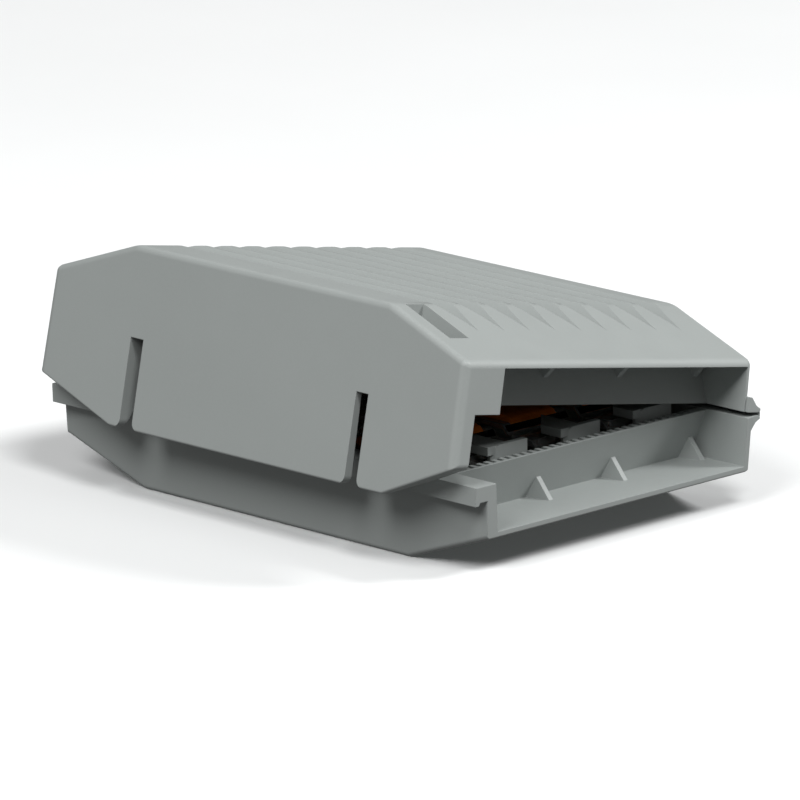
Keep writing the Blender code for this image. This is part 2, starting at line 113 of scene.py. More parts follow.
# ---- lid, drawn closed -------------------------------------------------------------------------
LID_FRONT = 0.49
LID_REAR = 52.71
LID_TOP = 16.75
LID_SLOPE_Z = 13.22
LID_SLOPE_FRONT = 10.53
LID_SLOPE_REAR = 42.57
LID_INNER_LEFT = 1.5
LID_MOUTH_Z = 6.5       # the lid's cutters start below the parting plane
LID_WALL_Z = 13.9
LID_CHAMBER_Y = 8.6
LID_ROUND = 0.6
LEFT_TOP_ROUND = 0.6
LEFT_END_ROUND = 0.8
FLAP_ROUND = 0.22
FLAP_CORNER = 0.4
FLAP_EDGE_Z = 6         # edges that lie wholly below are the flap's
SLOPE_EDGE_SPARE = 0.1
HOOD_CEILING = 12.65
CHAMBER_CEILING = 14.5
FLUTES = 9
FLUTE_PITCH = 3.3
FLUTE_FIRST = 3.35      # X of the first valley
CREST_HALF = 0.3
FLUTE_DEEP = 1.66
FLUTE_BULGE = 1.2       # 1 makes straight sides, 2 makes elliptical ones
FLUTE_STEPS = 12
POCKET_X = (-1.49, 0.88)
POCKET_FRONT = (4.65, 10.5)
POCKET_REAR = (42.6, 48.45)
POCKET_FLOOR = 10.6
FLAP_OUTER = -3.5
FLAP_INNER = -1.62
FLAP_SPREAD = 0.11      # the flap's ends stand out past the lid's
FLAP_DRAFT = 0.030
FLAP_BOTTOM = 0.25
FLAP_FRONT_Z = 3.9
FLAP_REAR_Z = 3.65
FLAP_FRONT_RUN = 8.5
FLAP_REAR_RUN = 43.0
FLAP_BEVEL = (1.05, 2.1)
LATCH_INNER = -2.8      # the middle tongue is thin, to spring out over the flange
SLOT_FRONT = (11.64, 13.12)
SLOT_REAR = (40.03, 41.65)
TONGUE_ROUND = 0.8
TONGUE_STEPS = 6
SLOT_THROUGH = 0.8      # how far a slot runs past the flap's inner face
RELIEF_THROUGH = 0.5
RELIEF_SIDE = 0.4       # how far the relief runs into the slots beside the tongue
RELIEF_TOP = 0.02

# ---- hinge, hooks ------------------------------------------------------------------------------
HINGE_X = 35.2
HINGE_LIP_DROP = 1.35
HINGE_LIP_GAP = 0.27
LIP_END = 0.15
LIP_ROOT = 0.4          # how far the lip runs into the wall
LIP_STEP = 0.35
LIP_FACE = 0.05
LIP_SLANT = 0.6
LIP_FOOT = 0.1
FILM_THICK = 0.22
FILM_INSET = 0.12       # how far inside the hinge axis the bow starts
FILM_REACH = 0.42       # half the height that the film spans
FILM_INNER = 0.02
FILM_FLAT = 0.6         # 1 bows the film in a half circle
FILM_END = 0.05
FILM_ROWS = 8
HOOK_Y = (6.75, 7.35)
HOOK_HALF = 2.2
HOOK_TOP = 9.28
HOOK_ROOT = 4.6
HOOK_CHAMFER = 0.55
HOOK_CHAMFER_DEEP = 0.3
SHOULDER_RUN = 0.85     # the plate's slanted shoulder
SHOULDER_DROP = 0.75
FINGER_X = (-2.7, 0.0)
FINGER_REACH = (9.3, 11.9)
FINGER_THICK = 0.83
FINGER_BACK = 0.12
FINGER_DROP = 0.04

# ---- connectors and gel ------------------------------------------------------------------------
CONNECTOR_HALF = 4.05
NOSE_Y = 8.7
NOSE_TOP = 8.1
BODY_BOTTOM = 1.05
BODY_TOP = 8.9
CHEEK_INNER = 3.05
WELL_Y = 12.2
WELL_FLOOR = 1.95
ENTRY_RADIUS = 2.0
ENTRY_Z = 4.75
PIVOT_Y = 21.5
PIVOT_Z = 7.3
PIVOT_HOLE = 0.75
PIN_RADIUS = 0.6
PIN_HALF = 3.85
HUB_RADIUS = 1.25
HUB_INSET = 0.2
LEVER_HALF = 2.85
LEVER_TIP_Y = 12.45
LEVER_TOP = 9.4
COVER_HALF = 2.9
COVER_Y = 23.8
COVER_Z = (6.5, 8.9)
PORT_OFF_MIDDLE = 1.7
PORT_HALF = (0.7, 0.45)
PORT_DEEP = 1.4
GEL_TOP = 7.3
GEL_CLEAR = 0.15
GEL_GAP = 0.2           # between gel and wall
PAD_Z = (13.4, 14.3)
GEL_ROUND = 0.25
HOUSING_ROUND = 0.18
COVER_ROUND = 0.15
LEVER_ROUND = 0.14
MIDDLE = LENGTH / 2

# ---- camera, metres and degrees, and colours (linear) ------------------------------------------
CAMERA_TARGET = (-0.030491, -0.029527, 0.018956)
CAMERA_ANGLES = (-45.309, 14.115)
CAMERA_DISTANCE = 0.74502
CAMERA_LENS = 393.86
CAMERA_CLIP = (0.05, 20)
GREY = (0.300, 0.322, 0.314)
FLOOR_GREY = (0.86, 0.87, 0.87)
ORANGE = (0.80, 0.19, 0.02)
COVER_GREY = (0.20, 0.21, 0.21)
TINNED_COPPER = (0.78, 0.70, 0.58)
SPRING_STEEL = (0.66, 0.66, 0.64)
CLEAR_TONES = ((0.80, 0.82, 0.80), (0.88, 0.90, 0.87))
GEL_TONES = ((0.042, 0.033, 0.005), (0.074, 0.057, 0.010))
TONE_SPREAD = 0.02      # slow drift in the tone of moulded plastic
ROLLED = (1, 0.05, 1)   # stretch of the fine lines on rolled strip
FLOOR_SIZE = 4.0
FLOOR_DROP = 0.00002
LIGHT_DISTANCE = 1.0
AMBIENT = 0.18
SOFTBOXES = [           # name, azimuth, height and width in degrees, strength
    ("key", -28, 53, 16, 1.50),
    ("left", -75, 42, 26, 1.80),
    ("right_front", 48, 38, 14, 1.95),
    ("rear", 225, 66, 50, 0.30),
]

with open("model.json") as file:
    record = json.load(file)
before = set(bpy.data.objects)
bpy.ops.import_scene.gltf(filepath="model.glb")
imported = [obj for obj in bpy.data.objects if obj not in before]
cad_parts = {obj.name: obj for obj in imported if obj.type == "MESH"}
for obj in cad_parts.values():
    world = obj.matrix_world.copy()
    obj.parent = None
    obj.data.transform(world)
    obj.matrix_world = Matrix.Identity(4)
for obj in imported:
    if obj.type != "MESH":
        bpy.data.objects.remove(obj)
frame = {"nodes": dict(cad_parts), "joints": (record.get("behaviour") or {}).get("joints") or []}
cad_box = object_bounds()
lid_joint = next(j for j in frame["joints"] if j["name"] == "lid_hinge")
HINGE_AT = Vector(lid_joint["pos_m"])
AJAR = math.radians(-lid_joint["range_deg"][0])
CORNER = HINGE_AT - Vector((HINGE_X, MIDDLE, PART_Z)) * MM
CONNECTOR_X = [(j["pos_m"][0] - CORNER.x) / MM for j in frame["joints"]
               if j["name"].startswith("lever_front")]


# ---- mesh kit ----------------------------------------------------------------------------------
def new_object(bm, name):
    mesh = bpy.data.meshes.new(name)
    bm.to_mesh(mesh)
    bm.free()
    obj = bpy.data.objects.new(name, mesh)
    bpy.context.scene.collection.objects.link(obj)
    return obj


def clean(bm):
    bmesh.ops.remove_doubles(bm, verts=bm.verts, dist=1e-6)
    bmesh.ops.recalc_face_normals(bm, faces=bm.faces)
    return bm


def at(value, z):
    return value(z) if callable(value) else value


def prism(name, outline, low, high, axis="X", bevel=0.0, segments=4):
    """Push a closed outline along an axis.  low and high may be functions of height."""
    bm = bmesh.new()
    rings = []
    for end in (low, high):
        ring = []
        for a, b in outline:
            if axis == "X":
                co = (at(end, b), a, b)
            elif axis == "Y":
                co = (a, at(end, b), b)
            else:
                co = (a, b, end)
            ring.append(bm.verts.new(Vector(co) * MM))
        rings.append(ring)
    n = len(outline)
    bm.faces.new(rings[0])
    bm.faces.new(rings[1])
    for i in range(n):
        j = (i + 1) % n
        bm.faces.new((rings[0][i], rings[0][j], rings[1][j], rings[1][i]))
    bmesh.ops.recalc_face_normals(bm, faces=bm.faces)
    obj = new_object(clean(bm), name)
    return round_edges(obj, bevel, segments) if bevel else obj


def round_edges(obj, radius, segments):
    """Round the edges; radius may be a function of an edge's two ends."""
    bm = bmesh.new()
    bm.from_mesh(obj.data)
    weight = bm.edges.layers.float.new("bevel_weight_edge")
    for edge in bm.edges:
        a, b = (v.co / MM for v in edge.verts)
        edge[weight] = (radius(a, b) if callable(radius) else radius) / 2
    bm.to_mesh(obj.data)
    bm.free()
    mod = obj.modifiers.new("round", "BEVEL")
    mod.limit_method = "WEIGHT"
    mod.width = 2 * MM
    mod.segments = segments
    mod.use_clamp_overlap = False
    return apply_modifiers(obj)


def box(name, x, y, z):
    return prism(name, [(y[0], z[0]), (y[1], z[0]), (y[1], z[1]), (y[0], z[1])], *x)


def circle(cy, cz, radius, count=32):
    turn = 2 * math.pi / count
    return [(cy + radius * math.cos((i + 0.5) * turn),
             cz + radius * math.sin((i + 0.5) * turn)) for i in range(count)]


def join(objects, name):
    bm = bmesh.new()
    for obj in objects:
        bm.from_mesh(obj.data)
        bpy.data.objects.remove(obj)
    return new_object(bm, name)


def apply_modifiers(obj):
    bpy.context.view_layer.update()
    graph = bpy.context.evaluated_depsgraph_get()
    mesh = bpy.data.meshes.new_from_object(obj.evaluated_get(graph))
    obj.modifiers.clear()
    obj.data = mesh
    obj.data.name = obj.name
    return obj


def combine(target, tools, how):
    for tool in tools if isinstance(tools, list) else [tools]:
        mod = target.modifiers.new("combine", "BOOLEAN")
        mod.operation = how
        mod.solver = "EXACT"
        mod.object = tool
        apply_modifiers(target)
        bpy.data.objects.remove(tool)
    bm = bmesh.new()
    bm.from_mesh(target.data)
    bmesh.ops.remove_doubles(bm, verts=bm.verts, dist=2e-6)
    bmesh.ops.dissolve_degenerate(bm, edges=bm.edges, dist=1e-6)
    bm.to_mesh(target.data)
    bm.free()
    return target


def cut(target, tools):
    return combine(target, tools, "DIFFERENCE")


def add(target, tools):
    return combine(target, tools, "UNION")


def soften(obj, width):
    """Round every sharp edge a little."""
    mod = obj.modifiers.new("round", "BEVEL")
    mod.width = width * MM
    mod.segments = 3
    mod.limit_method = "ANGLE"
    mod.angle_limit = math.radians(SOFTEN_ANGLE)
    mod.use_clamp_overlap = False
    return apply_modifiers(obj)


def smooth(obj):
    """Shade the rounds into the flats and leave the crisp edges crisp."""
    for poly in obj.data.polygons:
        poly.use_smooth = True
    obj.data.set_sharp_from_angle(angle=math.radians(SMOOTH_ANGLE))
    mod = obj.modifiers.new("normals", "WEIGHTED_NORMAL")
    mod.keep_sharp = True
    return apply_modifiers(obj)


def mirrored(outline):
    """The same outline at the other end of the box."""
    return [(LENGTH - y, z) for y, z in reversed(outline)]


def both_ends(outline):
    return outline + mirrored(outline)


def reversed_ends(obj):
    """A copy of the mesh at the other end of the box."""
    mesh = obj.data.copy()
    mesh.transform(Matrix.Translation((0, LENGTH * MM, 0)) @ Matrix.Scale(-1, 4, (0, 1, 0)))
    mesh.flip_normals()
    twin = bpy.data.objects.new(obj.name + "_rear", mesh)
    bpy.context.scene.collection.objects.link(twin)
    return twin


def place(obj, body, look, slot, *nodes):
    """Move a finished piece into the frame and let it ride on its body in place of CAD nodes."""
    smooth(obj)
    if body == "lid":
        pivot = Vector((HINGE_X, MIDDLE, PART_Z)) * MM
        obj.data.transform(Matrix.Translation(pivot) @ Matrix.Rotation(AJAR, 4, "Y")
                           @ Matrix.Translation(-pivot))
    obj.data.transform(Matrix.Translation(CORNER))
    obj.data.materials.clear()
    obj.data.materials.append(look)
    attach(obj, body)
    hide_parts(*nodes)
    return obj


# ---- materials ---------------------------------------------------------------------------------
class Nodes:
    """A small helper that wires a node material."""

    def __init__(self, name):
        self.material = bpy.data.materials.new(name)
        self.material.use_nodes = True
        self.tree = self.material.node_tree
        self.shader = self.tree.nodes["Principled BSDF"]
        self.coords = self.tree.nodes.new("ShaderNodeTexCoord").outputs["Object"]

    def link(self, out, socket):
        self.tree.links.new(out, self.shader.inputs[socket] if isinstance(socket, str) else socket)

    def noise(self, scale, detail=3.0, rough=0.5, stretch=(1, 1, 1)):
        mapping = self.tree.nodes.new("ShaderNodeMapping")
        mapping.inputs["Scale"].default_value = stretch
        self.link(self.coords, mapping.inputs["Vector"])
        node = self.tree.nodes.new("ShaderNodeTexNoise")
        node.inputs["Scale"].default_value = scale
        node.inputs["Detail"].default_value = detail
        node.inputs["Roughness"].default_value = rough
        self.link(mapping.outputs["Vector"], node.inputs["Vector"])
        return node.outputs["Fac"]

    def ramp(self, value, low, high):
        """Spread the middle of a noise's range from low to high."""
        node = self.tree.nodes.new("ShaderNodeMapRange")
        node.inputs["From Min"].default_value = 0.3
        node.inputs["From Max"].default_value = 0.7
        node.inputs["To Min"].default_value = low
        node.inputs["To Max"].default_value = high
        self.link(value, node.inputs["Value"])
        return node.outputs["Result"]

    def mix(self, factor, a, b):
        """Mix two colours; the node's colour sockets are 6 and 7, and its colour result is 2."""
        node = self.tree.nodes.new("ShaderNodeMix")
        node.data_type = "RGBA"
        for colour, socket in ((a, node.inputs[6]), (b, node.inputs[7])):
            if isinstance(colour, tuple):
                socket.default_value = (*colour, 1.0)
            else:
                self.link(colour, socket)
        self.link(factor, node.inputs[0])
        return node.outputs[2]

    def bump(self, height, strength, distance, under=None):
        node = self.tree.nodes.new("ShaderNodeBump")
        node.inputs["Strength"].default_value = strength
        node.inputs["Distance"].default_value = distance
        self.link(height, node.inputs["Height"])
        if under is not None:
            self.link(under, node.inputs["Normal"])
        return node.outputs["Normal"]

    def rounded(self, radius):
        """The normal of a mesh whose edges are rounded by a radius in millimetres."""
        node = self.tree.nodes.new("ShaderNodeBevel")
        node.samples = 6
        node.inputs["Radius"].default_value = radius * MM
        return node.outputs["Normal"]

    def set(self, **values):
        for name, value in values.items():
            self.shader.inputs[name.replace("_", " ")].default_value = value


def shade(colour, factor):
    return tuple(min(1.0, c * factor) for c in colour)


def moulded_plastic(name, colour, roughness, grain=0.08):
    """Spark-eroded matt plastic: slow drift in tone, fine speckle, fine grain and faint flow."""
    n = Nodes(name)
    drift = n.noise(70, 2.0, 0.5, (1, 0.5, 1))
    speckle = n.noise(5200, 2.0, 0.6)
    tone = n.mix(n.ramp(drift, 0, 1), shade(colour, 1 - TONE_SPREAD),
                 shade(colour, 1 + TONE_SPREAD))
    tone = n.mix(n.ramp(speckle, 0.0, 0.25), tone, shade(colour, 1.10))
    n.link(tone, "Base Color")
    n.link(n.ramp(n.noise(420, 4.0), roughness - 0.05, roughness + 0.06), "Roughness")
    flow = n.bump(n.noise(160, 2.0, 0.4, (1, 0.35, 1)), 0.12, 0.00006, n.rounded(SOFT_EDGE))
    n.link(n.bump(n.noise(4300, 3.0, 0.55), grain, 0.00003, flow), "Normal")
    n.set(IOR=1.5)
    return n.material


def clear_plastic(name):
    n = Nodes(name)
    n.link(n.mix(n.ramp(n.noise(90), 0, 1), *CLEAR_TONES), "Base Color")
    n.link(n.ramp(n.noise(500, 4.0), 0.06, 0.16), "Roughness")
    n.link(n.bump(n.noise(260, 2.0), 0.12, 0.00008), "Normal")
    n.set(IOR=1.5, Transmission_Weight=0.82)
    return n.material


def metal(name, colour, roughness):
    """Rolled strip with fine lines along one direction."""
    n = Nodes(name)
    lines = n.noise(2600, 4.0, 0.6, ROLLED)
    n.link(n.mix(n.ramp(lines, 0, 1), shade(colour, 0.82), shade(colour, 1.12)), "Base Color")
    n.link(n.ramp(n.noise(700, 4.0), roughness - 0.06, roughness + 0.1), "Roughness")
    n.link(n.bump(lines, 0.2, 0.00002), "Normal")
    n.set(Metallic=1.0)
    return n.material


def gel_material(name):
    n = Nodes(name)
    cloud = n.noise(180, 2.0, 0.4)
    n.link(n.mix(n.ramp(cloud, 0, 1), *GEL_TONES), "Base Color")
    n.link(n.ramp(n.noise(900, 3.0), 0.08, 0.20), "Roughness")
    n.link(n.bump(n.noise(330, 3.0, 0.5), 0.5, 0.0003), "Normal")
    n.set(IOR=1.42, Coat_Weight=0.4, Coat_Roughness=0.08)
    return n.material


# ---- lower half --------------------------------------------------------------------------------
def inset(z):
    return DRAFT * (PART_Z - PART_GAP - z)


def bulkhead(z):
    """Y of the lower bulkhead's mouth side at a height."""
    return BULK_TOP_Y + (BULK_TOP_Z - z) * BULK_LEAN


def gusset(x, floor, up):
    """A small wedge between the mouth's floor and the bulkhead; up is -1 for the lid's."""
    foot = bulkhead(HOOD_FLOOR) + OVERLAP
    tip = bulkhead(HOOD_FLOOR + GUSSET_HIGH)
    ridge = GUSSET_RIDGE
    top = floor + up * GUSSET_HIGH
    points = [(x - GUSSET_HALF, foot, floor), (x + GUSSET_HALF, foot, floor),
              (x + ridge, foot - GUSSET_LONG, floor), (x - ridge, foot - GUSSET_LONG, floor),
              (x - ridge, tip + OVERLAP, top), (x + ridge, tip + OVERLAP, top),
              (x - ridge, tip - GUSSET_PROUD, top), (x + ridge, tip - GUSSET_PROUD, top)]
    low = [(a, b, floor - up * OVERLAP) for a, b, _ in points[:4]]
    bm = bmesh.new()
    verts = [bm.verts.new(Vector(p) * MM) for p in points + low]
    bmesh.ops.convex_hull(bm, input=verts)
    loose = [v for v in bm.verts if not v.link_faces]
    bmesh.ops.delete(bm, geom=loose, context="VERTS")
    bmesh.ops.dissolve_limit(bm, angle_limit=0.01, verts=bm.verts, edges=bm.edges)
    return new_object(clean(bm), "gusset")


def hook(x):
    """Upright plate with a finger reaching back over the connector's nose."""
    top = HOOK_TOP
    west, east = x - HOOK_HALF, x + HOOK_HALF
    front, back = HOOK_Y
    plate = prism("hook", [(west, back), (west, front + HOOK_CHAMFER_DEEP),
                           (west + HOOK_CHAMFER, front), (east, front), (east, back)],
                  HOOK_ROOT, top, "Z")
    cut(plate, prism("corner", [(west - 1, top - SHOULDER_DROP), (west + SHOULDER_RUN, top),
                                (west - 1, top + 1)], front - 1, back + 1, "Y"))
    left, right = x + FINGER_X[0], x + FINGER_X[1]
    finger = prism("finger", [(left, front + FINGER_BACK), (right, front + FINGER_BACK),
                              (right, FINGER_REACH[1]), (left, FINGER_REACH[0])],
                   top - FINGER_THICK, top - FINGER_DROP, "Z")
    return add(plate, finger)


def hinge_lip(name, up, spare=0.0):
    """Thickened edge of the film hinge outside the right wall; up is -1 for the lid's.

    Spare height past the parting plane is cut off later, with the rest of the lid's underside.
    """
    z = PART_Z - up * PART_GAP
    root, step, face = WIDTH - LIP_ROOT, HINGE_X - LIP_STEP, HINGE_X - LIP_FACE
    foot = z - up * HINGE_LIP_DROP
    outline = [(root, z + up * spare), (step, z + up * spare), (step, z),
               (face, PART_Z - up * HINGE_LIP_GAP), (face, z - up * LIP_STEP),
               (HINGE_X - LIP_SLANT, z - up * LIP_SLANT), (WIDTH - LIP_FOOT, foot), (root, foot)]
    return prism(name, outline, LIP_END, LENGTH - LIP_END, "Y")


def comb_slots():
    first = WALL_LEFT + COMB_START
    count = int((WIDTH - WALL_RIGHT - COMB_END - first) / COMB_PITCH)
    top_y, low = bulkhead(BULK_TOP_Z), BULK_TOP_Z - COMB_CUT
    back = top_y + COMB_DEEP + COMB_SPARE
    run = [(top_y + COMB_LIP, COMB_OVER), (back, COMB_OVER), (back, low),
           (bulkhead(low) + COMB_LIP, low), (top_y + COMB_LIP, BULK_TOP_Z)]
    slots = []
    for i in range(count):
        x = first + i * COMB_PITCH
        slots.append(prism("slot", run, x, x + COMB_SLOT))
        slots.append(prism("slot", mirrored(run), x, x + COMB_SLOT))
    return join(slots, "slots")


def lower_radius(a, b):
    """Radius of an edge of the lower half's block: only those along its length are well rounded."""
    return EDGE_ROUND if abs(a.y - b.y) > LONG_EDGE else END_ROUND


def lower_shell():
    top = PART_Z - PART_GAP
    over = top + CLEAR_ABOVE
    outline = [(inset(over), over), (inset(SLOPE_RISE), SLOPE_RISE), (SLOPE_RUN, 0)]
    shell = prism("lower_half_shell", both_ends(outline), inset, lambda z: WIDTH - inset(z),
                  bevel=lower_radius)
    cut(shell, box("rim", AROUND_X, AROUND_Y, (top, 20)))

    lip = FLANGE_OUT - FLANGE_LIP_WIDE
    low = top - FLANGE_THICK
    add(shell, prism("flange", [(-FLANGE_OUT, low - FLANGE_LIP),
                                (-lip - FLANGE_LIP_SLANT, low - FLANGE_LIP), (-lip, low),
                                (FLANGE_ROOT, low), (FLANGE_ROOT, top), (-FLANGE_OUT, top)],
                     inset, lambda z: LENGTH - inset(z), "Y"))
    add(shell, hinge_lip("hinge_lip", 1))

    left = lambda z: WALL_LEFT + LEFT_TAPER * (top - z)
    right = lambda z: WIDTH - WALL_RIGHT - inset(z)
    mouth = [(-3, HOOD_FLOOR), (bulkhead(HOOD_FLOOR), HOOD_FLOOR), (bulkhead(over), over),
             (-3, over)]
    comb_back = lambda z: bulkhead(z) + COMB_DEEP
    wall_back = lambda z: bulkhead(z) + SKIN + SKIN_SPARE
    toe_y, toe_rise = CHAMBER_TOE
    half = [(CHAMBER_FLOOR_Y, SKIN), (toe_y, SKIN + toe_rise)]
    half += [(wall_back(z), z) for z in CHAMBER_WALL_Z]
    half += [(comb_back(COMB_STEP_Z), COMB_STEP_Z), (comb_back(over), over)]
    cut(shell, [prism("mouth", mouth, left, right), prism("mouth", mirrored(mouth), left, right),
                prism("chamber", both_ends(half), left, right)])
    for y in (LEVEL_Y, (LENGTH - LEVEL_Y[1], LENGTH - LEVEL_Y[0])):
        cut(shell, box("level", (left(top), right(top)), y, (BULK_TOP_Z, 12)))

    parts = [hook(x) for x in CONNECTOR_X] + [gusset(x, HOOD_FLOOR, 1) for x in GUSSET_X]
    parts += [reversed_ends(p) for p in parts]
    add(shell, parts)
    return cut(shell, comb_slots())


# ---- lid ---------------------------------------------------------------------------------------
def lid_inset(z):
    return LID_DRAFT * (z - PART_Z)


def lid_bulkhead(z):
    return bulkhead(2 * PART_Z - z)


def lid_side():
    """Side view of the closed lid, with the latch flap's lower edge."""
    front = LID_FRONT + lid_inset(LID_SLOPE_Z)
    rear = LID_REAR - lid_inset(LID_SLOPE_Z)
    return [(LID_FRONT - FLAP_SPREAD, FLAP_FRONT_Z), (FLAP_FRONT_RUN, FLAP_BOTTOM),
            (FLAP_REAR_RUN, FLAP_BOTTOM), (LID_REAR + FLAP_SPREAD, FLAP_REAR_Z),
            (rear, LID_SLOPE_Z), (LID_SLOPE_REAR, LID_TOP), (LID_SLOPE_FRONT, LID_TOP),
            (front, LID_SLOPE_Z)]


def under_lid():
    """All that lies below the parting plane inside the latch flap, with the flap's bevel."""
    deep, tall = FLAP_BEVEL
    inner = lambda z: FLAP_INNER + FLAP_DRAFT * (z - PART_Z)
    base = PART_Z + PART_GAP
    low = FLAP_BOTTOM - OVERLAP
    section = [(inner(base), base), (inner(FLAP_BOTTOM + tall), FLAP_BOTTOM + tall),
               (inner(FLAP_BOTTOM) - deep, FLAP_BOTTOM), (inner(FLAP_BOTTOM) - deep, low - 1),
               (60, low - 1), (60, base)]
    return prism("under", section, -2.0, LENGTH + 2.0, "Y")


def latch_relief():
    """Space behind the thin middle tongue."""
    return box("relief", (LATCH_INNER, FLAP_INNER + RELIEF_THROUGH),
               (SLOT_FRONT[1] - RELIEF_SIDE, SLOT_REAR[0] + RELIEF_SIDE),
               (-2.0, PART_Z + RELIEF_TOP))


def tongue_slot(y0, y1):
    """Slot between two latch tongues, opening out at its rounded foot."""
    r = TONGUE_ROUND
    foot = [(-r * (1 - math.cos(a)), FLAP_BOTTOM + r * (1 - math.sin(a)))
            for a in (math.pi / 2 * k / TONGUE_STEPS for k in range(TONGUE_STEPS + 1))]
    half = [(0, PART_Z + RELIEF_TOP)] + foot + [(-r, FLAP_BOTTOM - 2)]
    outline = [(y0 + a, z) for a, z in half] + [(y1 - a, z) for a, z in reversed(half)]
    return prism("slot", outline, AROUND_X[0], FLAP_INNER + SLOT_THROUGH)


def flute(x):
    """Cutter for one valley between two ribs whose sides bulge and meet in a sharp bottom."""
    half = FLUTE_PITCH / 2 - CREST_HALF
    p = FLUTE_BULGE
    side = [(half * (1 - s), FLUTE_DEEP * (1 - (1 - s ** p) ** (1 / p)))
            for s in (k / FLUTE_STEPS for k in range(FLUTE_STEPS + 1))]
    left = [(x - a, LID_TOP - d) for a, d in side]
    right = [(x + a, LID_TOP - d) for a, d in reversed(side[:-1])]
    outline = [(x - half, LID_TOP + 1)] + left + right + [(x + half, LID_TOP + 1)]
    return prism("flute", outline, -2.0, LENGTH + 2.0, "Y")


def lid_radius(a, b):
    """Radius of an edge of the lid's block: widest along the top of the latch side."""
    left = max(a.x, b.x) < 0
    if max(a.z, b.z) < FLAP_EDGE_Z:
        return FLAP_ROUND if left else FLAP_CORNER
    if min(a.z, b.z) > LID_SLOPE_Z - SLOPE_EDGE_SPARE:
        return LEFT_TOP_ROUND if left else LID_ROUND
    return LEFT_END_ROUND if left else LID_ROUND


def lid_shell():
    shell = prism("lid_half_shell", lid_side(), lambda z: FLAP_OUTER + FLAP_DRAFT * (z - PART_Z),
                  lambda z: WIDTH - lid_inset(z), bevel=lid_radius, segments=8)
    add(shell, hinge_lip("hinge_lip", -1, OVERLAP))
    cut(shell, [under_lid(), latch_relief(), tongue_slot(*SLOT_FRONT), tongue_slot(*SLOT_REAR)])

    left = lambda z: LID_INNER_LEFT + lid_inset(z)
    right = lambda z: WIDTH - WALL_RIGHT - lid_inset(z)
    mouth = [(-3, LID_MOUTH_Z), (lid_bulkhead(LID_MOUTH_Z), LID_MOUTH_Z),
             (lid_bulkhead(HOOD_CEILING), HOOD_CEILING), (-3, HOOD_CEILING)]
    back = lambda z: lid_bulkhead(z) + SKIN + SKIN_SPARE
    half = [(back(LID_MOUTH_Z), LID_MOUTH_Z), (back(LID_WALL_Z), LID_WALL_Z),
            (LID_CHAMBER_Y, CHAMBER_CEILING)]
    cut(shell, [prism("mouth", mouth, left, right), prism("mouth", mirrored(mouth), left, right),
                prism("chamber", both_ends(half), left, right)])

    ribs = [gusset(x, HOOD_CEILING, -1) for x in GUSSET_X]
    ribs += [reversed_ends(r) for r in ribs]
    add(shell, ribs)

    cutters = [flute(FLUTE_FIRST + i * FLUTE_PITCH) for i in range(FLUTES)]
    for y in (POCKET_FRONT, POCKET_REAR):
        cutters.append(box("pocket", POCKET_X, y, (POCKET_FLOOR, LID_TOP + 1)))
    return cut(shell, join(cutters, "cutters"))


# ---- connectors --------------------------------------------------------------------------------
def connector_body(x, name):
    side = both_ends([(10.9, BODY_BOTTOM), (9.1, 1.85), (NOSE_Y, 2.3), (NOSE_Y, NOSE_TOP - 0.5),
                      (NOSE_Y + 0.5, NOSE_TOP), (WELL_Y - 0.1, NOSE_TOP), (WELL_Y + 0.5, BODY_TOP)])
    body = prism(name, side, x - CONNECTOR_HALF, x + CONNECTOR_HALF)
    well = box("well", (x - CHEEK_INNER, x + CHEEK_INNER), (WELL_Y, LENGTH - WELL_Y),
               (WELL_FLOOR, 12))
    entry = prism("entry", [(x + a, b) for a, b in circle(0, ENTRY_Z, ENTRY_RADIUS)],
                  2.0, LENGTH - 2.0, "Y")
    holes = [prism("hole", circle(y, PIVOT_Z, PIVOT_HOLE), x - 6, x + 6)
             for y in (PIVOT_Y, LENGTH - PIVOT_Y)]
    return cut(body, [well, entry] + holes)


def lever(x, name, rear):
    """Closed lever: hub at the pivot, arm lying along the top, tip turned down."""
    arm = [(LEVER_TIP_Y, 7.7), (LEVER_TIP_Y + 0.55, 7.55), (LEVER_TIP_Y + 1.0, 8.1),
           (16.0, 8.15), (PIVOT_Y - 0.6, 7.9), (PIVOT_Y, PIVOT_Z + 0.4),
           (PIVOT_Y + 0.75, PIVOT_Z + 0.9), (PIVOT_Y - 0.1, PIVOT_Z + 1.5), (19.5, 9.2),
           (17.0, LEVER_TOP), (14.0, LEVER_TOP), (LEVER_TIP_Y + 0.6, 9.15),
           (LEVER_TIP_Y, 8.5)]
    turn = mirrored if rear else list
    part = prism(name, turn(arm), x - LEVER_HALF, x + LEVER_HALF)
    hub = prism("hub", turn(circle(PIVOT_Y, PIVOT_Z, HUB_RADIUS)),
                x - LEVER_HALF + HUB_INSET, x + LEVER_HALF - HUB_INSET)
    pin = prism("pin", turn(circle(PIVOT_Y, PIVOT_Z, PIN_RADIUS, 20)), x - PIN_HALF, x + PIN_HALF)
    return add(part, [hub, pin])


def cover(x, name):
    part = box(name, (x - COVER_HALF, x + COVER_HALF), (COVER_Y, LENGTH - COVER_Y), COVER_Z)
    wide, long = PORT_HALF
    ports = [box("port", (x - wide, x + wide), (y - long, y + long), (COVER_Z[1] - PORT_DEEP, 12))
             for y in (MIDDLE - PORT_OFF_MIDDLE, MIDDLE + PORT_OFF_MIDDLE)]
    return cut(part, join(ports, "ports"))


